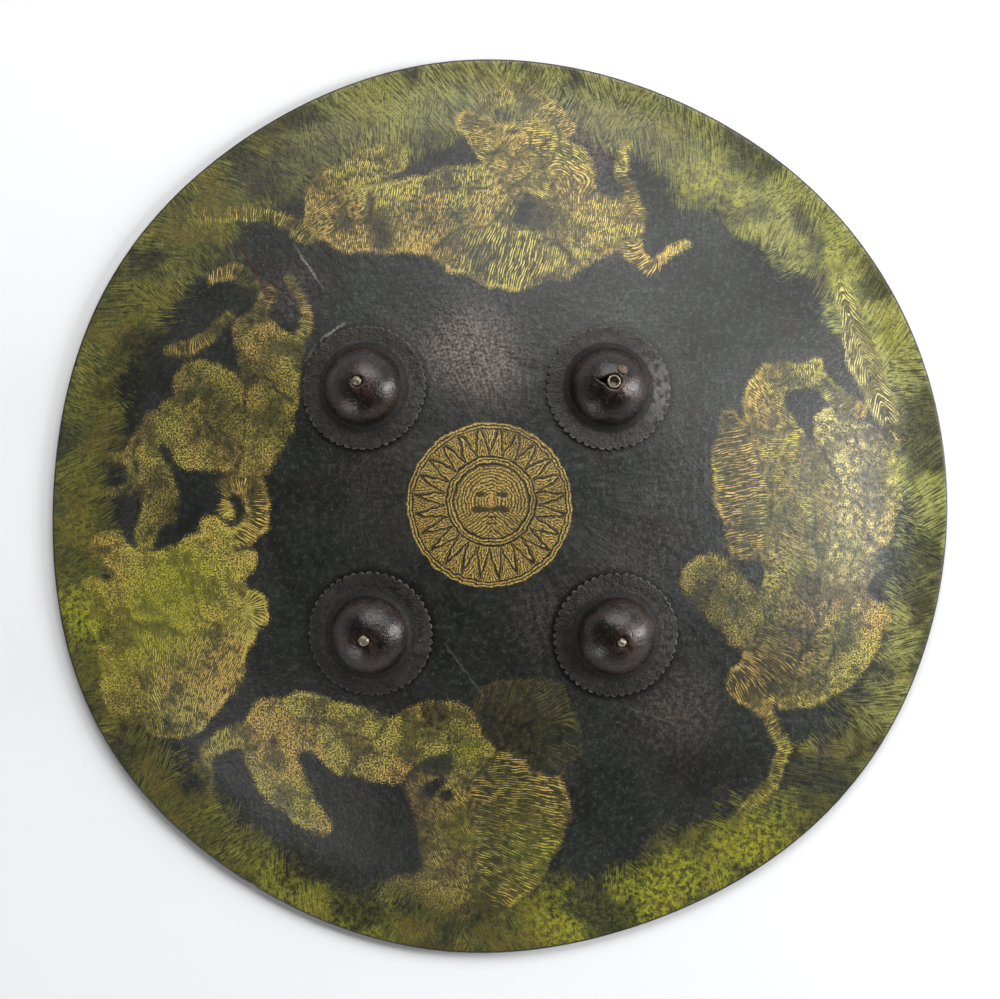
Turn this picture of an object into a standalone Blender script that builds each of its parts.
"""A dhal: a round, domed hide shield with four iron bosses on its face.

Behind each boss a ring bolt comes through the hide and carries a loose ring. Two leather
grips join the rings in pairs, over a square knuckle pad. The shield lies face up on its
rim, with its underside at z = 0. Lengths are in metres.
"""

import math

import bmesh
import bpy
from mathutils import Matrix, Vector

# Clearance between touching pieces, and under the hide, whose facets sag a little
GAP = 0.0003
UNDER_GAP = 0.0008

# Hide: a cap arc, then a brim arc of the opposite bend, then a flat lip
RIM_RADIUS = 0.250
HIDE_THICKNESS = 0.005
DOME_SLOPE = math.radians(25.5)
BRIM_WIDTH = 0.043
LIP_WIDTH = 0.005
EDGE_ROUND = 0.0012
CAP_STEPS = 6
BRIM_STEPS = 4
HIDE_SIDES = 48

# The rim was cut by hand, so it wanders from a true circle:
# waves round the rim, share of the radius, and where each wave is highest in degrees
RIM_WAVES = (
    (1, 0.0072, -155.8),
    (2, 0.0055, 35.9),
    (3, 0.0064, -39.4),
    (4, 0.0030, 169.8),
    (6, 0.0037, 168.7),
    (7, 0.0018, 7.5),
)

# Bosses: where each one stands, seen from above
BOSS_PLACES = {
    "top_left": (-0.0736, 0.0641),
    "top_right": (0.0584, 0.0638),
    "bottom_left": (-0.0701, -0.0690),
    "bottom_right": (0.0625, -0.0698),
}
DOME_RADIUS = 0.0218
DOME_HEIGHT = 0.0190
BOSS_WALL = 0.0015
COVE = 0.0032
FLANGE_RADIUS = 0.0342
FLANGE_THICKNESS = 0.0012
TOOTH_DEPTH = 0.0012
TEETH = 48
DOME_SIDES = 24
DOME_STEPS = 5
BORE_STEPS = 3

# The torn tip of the top right boss, and the pin that mends it
TORN_BOSS = "top_right"
TEAR_RADIUS = 0.0047
TEAR_REACH = 0.0085
TEAR_ANGLE = math.radians(172.0)
MEND_PIN_RADIUS = 0.0026
MEND_PIN_PLACE = (0.0050, 0.0068)
MEND_PIN_LENGTH = 0.0040
MEND_PIN_STAND = 0.0007

# Ring bolts: a head on the boss, a shank through the hide, and an eye behind it
SHANK_RADIUS = 0.0024
HEAD_RADIUS = 0.0034
HEAD_HEIGHT = 0.0017
TUBE_RADIUS = 0.0036
TUBE_BORE_RADIUS = 0.0023
TUBE_BORE_DEPTH = 0.0030
TUBE_LENGTH = 0.0060
COLLAR_RADIUS = 0.0070
COLLAR_THICKNESS = 0.0015
EYE_RADIUS = 0.0060
EYE_WIRE = 0.0020
BOLT_SIDES = 8

# Rings, one through each eye
RING_RADIUS = 0.0092
RING_WIRE = 0.0019
RING_SLACK = 0.0017
RING_DIP = math.radians(24.0)
RING_TURN = math.radians(24.0)
RING_SIDES = 14
WIRE_SIDES = 6

# Grips: flat leather rolls with an eye at each end
GRIP_EYE_RADIUS = 0.0041
GRIP_EYE_WIRE = 0.0016
GRIP_END_WIDTH = 0.0070
GRIP_WIDTH = 0.0180
GRIP_FLATNESS = 0.50
GRIP_SPRING = 1.5
GRIP_STEPS = 10

# Knuckle pad
PAD_SIDE = 0.1040
PAD_THICKNESS = 0.0110
PAD_CROWN = 0.0025
PAD_CUTS = 4
PAD_CENTRE = (-0.0057, -0.0027)


def clear_scene():
    for obj in list(bpy.data.objects):
        bpy.data.objects.remove(obj)


def new_collection(name):
    collection = bpy.data.collections.new(name)
    bpy.context.scene.collection.children.link(collection)
    return collection


def new_material(name, colour, roughness, metallic=0.0):
    material = bpy.data.materials.new(name)
    material.use_nodes = True
    shader = material.node_tree.nodes["Principled BSDF"]
    shader.inputs["Base Color"].default_value = (*colour, 1.0)
    shader.inputs["Roughness"].default_value = roughness
    shader.inputs["Metallic"].default_value = metallic
    return material


def new_object(name, mesh, collection, material=None):
    obj = bpy.data.objects.new(name, mesh)
    collection.objects.link(obj)
    if material is not None:
        mesh.materials.clear()
        mesh.materials.append(material)
    return obj


def take_active(name, collection):
    """Renames the object an operator has just made and moves it to a collection."""
    obj = bpy.context.active_object
    obj.name = name
    for home in list(obj.users_collection):
        home.objects.unlink(obj)
    collection.objects.link(obj)
    return obj


def hide_helper(obj):
    obj.hide_render = True
    obj.display_type = "WIRE"


def applied_mesh(obj):
    """The object's evaluated mesh in world space, welded, with its faces turned out."""
    bpy.context.view_layer.update()
    evaluated = obj.evaluated_get(bpy.context.evaluated_depsgraph_get())
    mesh = bpy.data.meshes.new_from_object(evaluated)
    mesh.transform(obj.matrix_world)
    work = bmesh.new()
    work.from_mesh(mesh)
    bmesh.ops.remove_doubles(work, verts=work.verts, dist=0.00001)
    bmesh.ops.recalc_face_normals(work, faces=work.faces)
    work.to_mesh(mesh)
    work.free()
    return mesh


def combine(obj, other, operation):
    """Joins other to obj, or cuts it away, and keeps other as a hidden helper."""
    modifier = obj.modifiers.new(operation.lower(), "BOOLEAN")
    modifier.operation = operation
    modifier.object = other
    hide_helper(other)


def turned(name, profile, sides, collection, closed):
    """Turns a profile of (radius, height) points about Z with a Screw modifier."""
    mesh = bpy.data.meshes.new(name)
    edges = [(i, i + 1) for i in range(len(profile) - 1)]
    if closed:
        edges.append((len(profile) - 1, 0))
    mesh.from_pydata([(r, 0.0, z) for r, z in profile], edges, [])
    obj = new_object(name, mesh, collection)
    screw = obj.modifiers.new("turn", "SCREW")
    screw.steps = sides
    screw.render_steps = sides
    screw.use_merge_vertices = True
    screw.merge_threshold = 0.00001
    return obj


def smooth(obj, angle=math.radians(35.0)):
    obj.data.shade_smooth()
    obj.data.set_sharp_from_angle(angle=angle)


def arc(centre, radius, start, end, steps):
    """Points on an arc; angles run from +X towards +Z."""
    return [
        (
            centre[0] + radius * math.cos(start + (end - start) * i / steps),
            centre[1] + radius * math.sin(start + (end - start) * i / steps),
        )
        for i in range(steps + 1)
    ]


# Where the arcs of the hide's section meet, and their centres
BRIM_START = RIM_RADIUS - BRIM_WIDTH
LIP_START = RIM_RADIUS - LIP_WIDTH
CAP_ARC = BRIM_START / math.sin(DOME_SLOPE)
BRIM_ARC = (LIP_START - BRIM_START) / math.sin(DOME_SLOPE)
BRIM_CENTRE_Z = HIDE_THICKNESS + BRIM_ARC
CAP_CENTRE_Z = BRIM_CENTRE_Z - (BRIM_ARC + CAP_ARC) * math.cos(DOME_SLOPE)


def hide_profile(depth):
    """Profile of the hide at a depth below its outer face, from the axis out to the lip.

    The cap arc meets the brim arc at DOME_SLOPE. The brim arc levels out at the lip, whose
    underside is the flat foot at z = 0.
    """
    level = math.radians(-90.0)
    upright = math.radians(90.0)
    cap = arc((0.0, CAP_CENTRE_Z), CAP_ARC - depth, upright, upright - DOME_SLOPE, CAP_STEPS)
    brim_centre = (LIP_START, BRIM_CENTRE_Z)
    brim = arc(brim_centre, BRIM_ARC + depth, level - DOME_SLOPE, level, BRIM_STEPS)
    return [(0.0, cap[0][1]), *cap[1:], *brim[1:]]


def section_height(depth, radius):
    """Height of the smooth section at a radius, at a depth below the outer face."""
    if radius < (CAP_ARC - depth) * math.sin(DOME_SLOPE):
        return CAP_CENTRE_Z + math.sqrt((CAP_ARC - depth) ** 2 - radius**2)
    if radius < LIP_START:
        return BRIM_CENTRE_Z - math.sqrt((BRIM_ARC + depth) ** 2 - (LIP_START - radius) ** 2)
    return HIDE_THICKNESS - depth


def rim_factor(angle):
    """How far the rim stands out at an angle, as a share of its mean radius."""
    return 1.0 + sum(
        share * math.cos(order * angle - math.radians(crest)) for order, share, crest in RIM_WAVES
    )


def rim_centre():
    """Centre of the box around the waved rim, which becomes the origin."""
    points = []
    for side in range(HIDE_SIDES):
        angle = math.tau * side / HIDE_SIDES
        reach = RIM_RADIUS * rim_factor(angle)
        points.append((reach * math.cos(angle), reach * math.sin(angle)))
    spans = [[point[axis] for point in points] for axis in (0, 1)]
    return [(min(span) + max(span)) / 2.0 for span in spans]


RIM_CENTRE = rim_centre()


def hide_height(depth, x, y):
    """Height of the waved hide over a point of the ground, at a depth below its face."""
    east = x + RIM_CENTRE[0]
    north = y + RIM_CENTRE[1]
    radius = math.hypot(east, north) / rim_factor(math.atan2(north, east))
    return section_height(depth, radius)


def boss_frame(place):
    """Frame on the hide's outer face at a boss: Z along the hide's normal, X level."""
    x, y = place
    step = 0.012
    east = hide_height(0.0, x + step, y) - hide_height(0.0, x - step, y)
    north = hide_height(0.0, x, y + step) - hide_height(0.0, x, y - step)
    normal = Vector((-east, -north, 2.0 * step)).normalized()
    level = Vector((0.0, 1.0, 0.0)).cross(normal).normalized()
    across = normal.cross(level)
    frame = Matrix((level, across, normal)).transposed().to_4x4()
    frame.translation = Vector((x, y, hide_height(0.0, x, y)))
    return frame


def follow_hide(mesh, frame):
    """Places a mesh made flat in a boss frame and bends it to the hide under it."""
    normal = frame.to_3x3().col[2]
    for vertex in mesh.vertices:
        foot = frame @ Vector((vertex.co.x, vertex.co.y, 0.0))
        drop = (hide_height(0.0, foot.x, foot.y) - foot.z) * normal.z
        vertex.co = frame @ vertex.co + normal * drop


def cylinder(name, radius, low, high, sides, collection):
    bpy.ops.mesh.primitive_cylinder_add(
        vertices=sides,
        radius=radius,
        depth=high - low,
        location=(0.0, 0.0, (low + high) / 2.0),
    )
    return take_active(name, collection)


def torus(name, radius, wire, around, wire_sides, matrix, collection):
    bpy.ops.mesh.primitive_torus_add(
        major_radius=radius,
        minor_radius=wire,
        major_segments=around,
        minor_segments=wire_sides,
    )
    obj = take_active(name, collection)
    obj.data.transform(matrix)
    return obj


def make_hide(part, helpers, material, frames):
    """The hide plate, turned, waved at its rim and drilled for the ring bolts."""
    lip_top = (RIM_RADIUS - EDGE_ROUND, HIDE_THICKNESS)
    edge = [
        lip_top,
        (RIM_RADIUS, HIDE_THICKNESS - EDGE_ROUND),
        (RIM_RADIUS, EDGE_ROUND),
        (RIM_RADIUS - EDGE_ROUND, 0.0),
    ]
    inner = reversed(hide_profile(HIDE_THICKNESS))
    profile = [*hide_profile(0.0), *edge, *inner]
    blank = turned("hide_blank", profile, HIDE_SIDES, helpers, closed=False)
    mesh = applied_mesh(blank)
    bpy.data.objects.remove(blank)
    for vertex in mesh.vertices:
        factor = rim_factor(math.atan2(vertex.co.y, vertex.co.x))
        vertex.co.x = vertex.co.x * factor - RIM_CENTRE[0]
        vertex.co.y = vertex.co.y * factor - RIM_CENTRE[1]
    hide = new_object("shield_hide", mesh, part, material)
    for name, frame in frames.items():
        drill = cylinder(
            "drill_" + name,
            SHANK_RADIUS + GAP,
            -2.0 * HIDE_THICKNESS,
            HIDE_THICKNESS,
            BOLT_SIDES,
            helpers,
        )
        drill.matrix_world = frame @ drill.matrix_world
        combine(hide, drill, "DIFFERENCE")
    smooth(hide)


def cut_teeth(mesh):
    """Divides the round edge of a boss's flange and sets every other point in."""
    work = bmesh.new()
    work.from_mesh(mesh)
    reach = FLANGE_RADIUS - GAP
    rim = [edge for edge in work.edges if all(v.co.xy.length > reach for v in edge.verts)]
    rim = [edge for edge in rim if abs(edge.verts[0].co.z - edge.verts[1].co.z) < GAP]
    bmesh.ops.subdivide_edges(work, edges=rim, cuts=2 * TEETH // DOME_SIDES - 1)
    for vertex in work.verts:
        if vertex.co.xy.length > DOME_RADIUS + COVE + GAP:
            point = round(math.atan2(vertex.co.y, vertex.co.x) * TEETH / math.pi)
            radius = FLANGE_RADIUS - (TOOTH_DEPTH if point % 2 else 0.0)
            vertex.co.xy *= radius / vertex.co.xy.length
    bmesh.ops.triangulate(work, faces=[face for face in work.faces if len(face.verts) > 4])
    work.to_mesh(mesh)
    work.free()


def dome_profile():
    """Section of a boss: down its outer side to a cove and the flange, and up inside."""
    hole = SHANK_RADIUS + GAP
    foot = FLANGE_THICKNESS
    foot_radius = DOME_RADIUS + COVE
    inner_radius = DOME_RADIUS - BOSS_WALL
    inner_height = DOME_HEIGHT - BOSS_WALL
    inner = [(foot_radius, 0.0), (inner_radius, 0.0)]
    inner_tip = math.acos(hole / inner_radius)
    for step in range(1, BORE_STEPS + 1):
        angle = inner_tip * step / BORE_STEPS
        inner.append((inner_radius * math.cos(angle), foot + inner_height * math.sin(angle)))
    tip_angle = math.acos(hole / DOME_RADIUS)
    low_angle = math.radians(8.0)
    outer = []
    for step in range(DOME_STEPS + 1):
        angle = tip_angle + (low_angle - tip_angle) * step / DOME_STEPS
        outer.append((DOME_RADIUS * math.cos(angle), foot + DOME_HEIGHT * math.sin(angle)))
    cove = [(DOME_RADIUS + 0.30 * COVE, foot + 0.35 * COVE), (foot_radius, foot)]
    rim = [(FLANGE_RADIUS, foot), (FLANGE_RADIUS, 0.0)]
    return [*inner, *outer, *cove, *rim]


def torn_tip_cutter(name, collection):
    """A round hole drawn out to a point on one side, as the torn tip shows."""
    outline = bpy.data.curves.new(name, "CURVE")
    outline.dimensions = "2D"
    outline.fill_mode = "BOTH"
    outline.extrude = DOME_HEIGHT / 2.0
    spline = outline.splines.new("POLY")
    around = 14
    spline.points.add(around - 1)
    for point in range(around):
        angle = TEAR_ANGLE + math.tau * point / around
        radius = TEAR_REACH if point == 0 else TEAR_RADIUS
        place = (radius * math.cos(angle), radius * math.sin(angle), 0.0, 1.0)
        spline.points[point].co = place
    spline.use_cyclic_u = True
    curve = bpy.data.objects.new(name + "_curve", outline)
    collection.objects.link(curve)
    curve.location.z = FLANGE_THICKNESS + DOME_HEIGHT
    mesh = applied_mesh(curve)
    bpy.data.objects.remove(curve)
    return new_object(name, mesh, collection)


def make_boss(name, frame, part, helpers, material):
    """One raised iron boss: dome, cove and saw-toothed flange, bent to the hide."""
    dome = turned("dome_" + name, dome_profile(), DOME_SIDES, helpers, closed=True)
    blank = new_object("blank_" + name, applied_mesh(dome), helpers)
    bpy.data.objects.remove(dome)
    cut_teeth(blank.data)
    if name == TORN_BOSS:
        combine(blank, torn_tip_cutter("tear_" + name, helpers), "DIFFERENCE")
        pin_hole = cylinder(
            "pin_hole", MEND_PIN_RADIUS + GAP, 0.0, 2.0 * DOME_HEIGHT, BOLT_SIDES, helpers
        )
        pin_hole.matrix_world = pin_frame() @ pin_hole.matrix_world
        pin_hole.location -= pin_frame().to_3x3().col[2] * DOME_HEIGHT
        combine(blank, pin_hole, "DIFFERENCE")
    mesh = applied_mesh(blank)
    bpy.data.objects.remove(blank)
    mesh.transform(Matrix.Translation((0.0, 0.0, GAP)))
    follow_hide(mesh, frame)
    smooth(new_object("boss_" + name, mesh, part, material))


def pin_frame():
    """Frame on the dome's outer face at the mending pin, in the boss frame."""
    x, y = MEND_PIN_PLACE
    share = math.hypot(x, y) / DOME_RADIUS
    z = FLANGE_THICKNESS + DOME_HEIGHT * math.sqrt(1.0 - share * share)
    rise = (z - FLANGE_THICKNESS) / DOME_HEIGHT**2
    normal = Vector((x / DOME_RADIUS**2, y / DOME_RADIUS**2, rise)).normalized()
    turn = normal.to_track_quat("Z", "Y").to_matrix().to_4x4()
    return Matrix.Translation((x, y, z + GAP)) @ turn


def make_mend_pin(frame, part, material):
    """The small brass pin beside the torn tip."""
    pin = cylinder(
        "mend_pin",
        MEND_PIN_RADIUS,
        MEND_PIN_STAND - MEND_PIN_LENGTH,
        MEND_PIN_STAND,
        BOLT_SIDES,
        part,
    )
    pin.data.materials.append(material)
    pin.matrix_world = frame @ pin_frame() @ pin.matrix_world
    smooth(pin)


def bolt_profile(torn):
    """Head, shank and collar of a ring bolt, from the top down, in the boss frame."""
    tip = FLANGE_THICKNESS + DOME_HEIGHT + 2.0 * GAP
    collar_top = -HIDE_THICKNESS - UNDER_GAP
    collar_base = collar_top - COLLAR_THICKNESS
    neck_base = collar_base - EYE_WIRE
    if torn:
        shoulder = tip - TUBE_LENGTH
        top = [
            (0.0, tip - TUBE_BORE_DEPTH),
            (TUBE_BORE_RADIUS, tip - TUBE_BORE_DEPTH),
            (TUBE_BORE_RADIUS, tip),
            (TUBE_RADIUS, tip),
            (TUBE_RADIUS, shoulder),
            (SHANK_RADIUS, shoulder),
        ]
    else:
        top = [
            (0.0, tip + HEAD_HEIGHT),
            (0.75 * HEAD_RADIUS, tip + 0.72 * HEAD_HEIGHT),
            (HEAD_RADIUS, tip),
            (SHANK_RADIUS, tip),
        ]
    return [
        *top,
        (SHANK_RADIUS, collar_top),
        (COLLAR_RADIUS, collar_top),
        (COLLAR_RADIUS, collar_base),
        (SHANK_RADIUS, collar_base),
        (SHANK_RADIUS, neck_base),
        (0.0, neck_base),
    ]


def eye_depth():
    """Depth of an eye's centre below the outer face, along the boss axis."""
    return HIDE_THICKNESS + UNDER_GAP + COLLAR_THICKNESS + EYE_WIRE + EYE_RADIUS


def make_ring_bolt(name, frame, part, helpers, material):
    """Ring bolt: its eye lies in the plane of the boss axis and the ring's pull."""
    shank = turned(
        "shank_" + name, bolt_profile(name == TORN_BOSS), BOLT_SIDES, helpers, closed=False
    )
    mesh = applied_mesh(shank)
    bpy.data.objects.remove(shank)
    bolt = new_object("ring_bolt_" + name, mesh, part, material)
    upright = Matrix.Rotation(eye_turn(frame), 4, "Z") @ Matrix.Rotation(math.pi / 2.0, 4, "Y")
    stand = Matrix.Translation((0.0, 0.0, -eye_depth())) @ upright
    eye = torus("eye_" + name, EYE_RADIUS, EYE_WIRE, 12, WIRE_SIDES, stand, helpers)
    combine(bolt, eye, "UNION")
    for obj in (bolt, eye):
        obj.matrix_world = frame
    smooth(bolt)


def eye_turn(frame):
    """How far an eye is turned about its boss axis, so that its ring leans inwards."""
    place = frame.translation
    return -math.copysign(RING_TURN, place.x * place.y)


def ring_places(frame):
    """Where a ring's wire passes through its eye, along which line, and where it is pulled."""
    turn = eye_turn(frame)
    across = frame.to_3x3() @ Vector((math.cos(turn), math.sin(turn), 0.0))
    upwards = Vector((0.0, 0.0, 1.0))
    inwards = across.cross(upwards).normalized()
    if inwards.y * frame.translation.y > 0.0:
        inwards.negate()
    upwards = (upwards - across * across.z).normalized()
    pull = (inwards * math.cos(RING_DIP) - upwards * math.sin(RING_DIP)).normalized()
    eye = frame @ Vector((0.0, 0.0, -eye_depth()))
    return eye + pull * RING_SLACK, across, pull


def make_ring(name, frame, part, material):
    """A loose ring through the eye of a bolt, held out by the grip."""
    start, across, pull = ring_places(frame)
    turn = Matrix((across, pull, across.cross(pull))).transposed().to_4x4()
    place = Matrix.Translation(start + pull * RING_RADIUS) @ turn
    ring = torus("ring_" + name, RING_RADIUS, RING_WIRE, RING_SIDES, WIRE_SIDES, place, part)
    ring.data.materials.append(material)
    smooth(ring, math.radians(80.0))


def grip_ends(frames, side):
    """Centre, axis and inward direction of the two eyes of a grip."""
    ends = []
    for level in ("top_", "bottom_"):
        start, across, pull = ring_places(frames[level + side])
        ends.append((start + pull * 2.0 * RING_RADIUS, across, pull))
    return ends


def grip_route(ends):
    """Centreline of a grip and its half width: it leaves both rings in line with them."""
    (top, _, top_pull), (bottom, _, bottom_pull) = ends
    first = top + top_pull * GRIP_EYE_RADIUS
    last = bottom + bottom_pull * GRIP_EYE_RADIUS
    reach = (last - first).length * GRIP_SPRING / 3.0
    corners = (first, first + top_pull * reach, last + bottom_pull * reach, last)
    route = []
    for step in range(GRIP_STEPS + 1):
        share = step / GRIP_STEPS
        rest = 1.0 - share
        weights = (rest**3, 3.0 * rest**2 * share, 3.0 * rest * share**2, share**3)
        place = sum((corner * weight for corner, weight in zip(corners, weights)), Vector())
        fullness = min(1.0, 1.7 * math.sin(math.pi * share))
        width = GRIP_END_WIDTH + (GRIP_WIDTH - GRIP_END_WIDTH) * fullness
        route.append((place, width / 2.0 * (0.92 if step in (0, GRIP_STEPS) else 1.0)))
    return route


def make_grip(side, frames, part, helpers, material):
    """A flat leather roll with a sewn eye round a ring at each end."""
    name = "grip_" + side
    ends = grip_ends(frames, side)
    line = bpy.data.curves.new(name, "CURVE")
    line.dimensions = "3D"
    line.bevel_depth = 1.0
    line.bevel_resolution = 2
    line.use_fill_caps = True
    spline = line.splines.new("POLY")
    route = grip_route(ends)
    spline.points.add(len(route) - 1)
    for point, (place, half_width) in zip(spline.points, route):
        point.co = (place.x, place.y, place.z / GRIP_FLATNESS, 1.0)
        point.radius = half_width
    curve = bpy.data.objects.new(name + "_curve", line)
    helpers.objects.link(curve)
    curve.scale.z = GRIP_FLATNESS
    mesh = applied_mesh(curve)
    bpy.data.objects.remove(curve)
    grip = new_object(name, mesh, part, material)
    widen = Matrix.Diagonal((1.0, 1.0, GRIP_END_WIDTH / (2.0 * GRIP_EYE_WIRE), 1.0))
    for end, (centre, across, pull) in zip(("top", "bottom"), ends):
        turn = Matrix((pull, across.cross(pull), across)).transposed().to_4x4()
        place = Matrix.Translation(centre) @ turn @ widen
        eye = torus(
            name + "_eye_" + end, GRIP_EYE_RADIUS, GRIP_EYE_WIRE, 12, WIRE_SIDES, place, helpers
        )
        combine(grip, eye, "UNION")
    smooth(grip, math.radians(60.0))


def make_pad(part, material):
    """Square cushion that lies against the inside of the hide and swells towards the hand."""
    bpy.ops.mesh.primitive_cube_add(size=1.0)
    pad = take_active("knuckle_pad", part)
    pad.data.materials.append(material)
    work = bmesh.new()
    work.from_mesh(pad.data)
    bmesh.ops.subdivide_edges(work, edges=work.edges, cuts=PAD_CUTS, use_grid_fill=True)
    for vertex in work.verts:
        u, v, w = 2.0 * vertex.co.x, 2.0 * vertex.co.y, 2.0 * vertex.co.z
        waist = 1.0 - 0.03 * (1.0 - min(u * u, v * v)) - 0.06 * w * w
        x = PAD_CENTRE[0] + u * waist * PAD_SIDE / 2.0
        y = PAD_CENTRE[1] + v * waist * PAD_SIDE / 2.0
        swell = (1.0 - u * u) * (1.0 - v * v)
        under_hide = hide_height(HIDE_THICKNESS, x, y) - UNDER_GAP
        depth = (1.0 - w) / 2.0 * (PAD_THICKNESS - PAD_CROWN * (1.0 - swell))
        vertex.co = (x, y, under_hide - depth)
    work.to_mesh(pad.data)
    work.free()
    smooth(pad, math.radians(50.0))


def main():
    clear_scene()
    part = new_collection("dhal_shield")
    helpers = new_collection("cutters")
    lacquer = new_material("lacquered_hide", (0.050, 0.052, 0.040), 0.45)
    iron = new_material("boss_iron", (0.045, 0.034, 0.028), 0.38, 0.75)
    bolt_iron = new_material("bolt_iron", (0.080, 0.070, 0.060), 0.50, 0.80)
    grip_leather = new_material("grip_leather", (0.090, 0.045, 0.025), 0.60)
    pad_leather = new_material("pad_leather", (0.120, 0.040, 0.028), 0.65)
    brass = new_material("mend_brass", (0.420, 0.300, 0.130), 0.42, 0.90)

    frames = {name: boss_frame(place) for name, place in BOSS_PLACES.items()}
    make_hide(part, helpers, lacquer, frames)
    for name, frame in frames.items():
        make_boss(name, frame, part, helpers, iron)
        make_ring_bolt(name, frame, part, helpers, bolt_iron)
        make_ring(name, frame, part, bolt_iron)
    make_mend_pin(frames[TORN_BOSS], part, brass)
    for side in ("left", "right"):
        make_grip(side, frames, part, helpers, grip_leather)
    make_pad(part, pad_leather)


main()
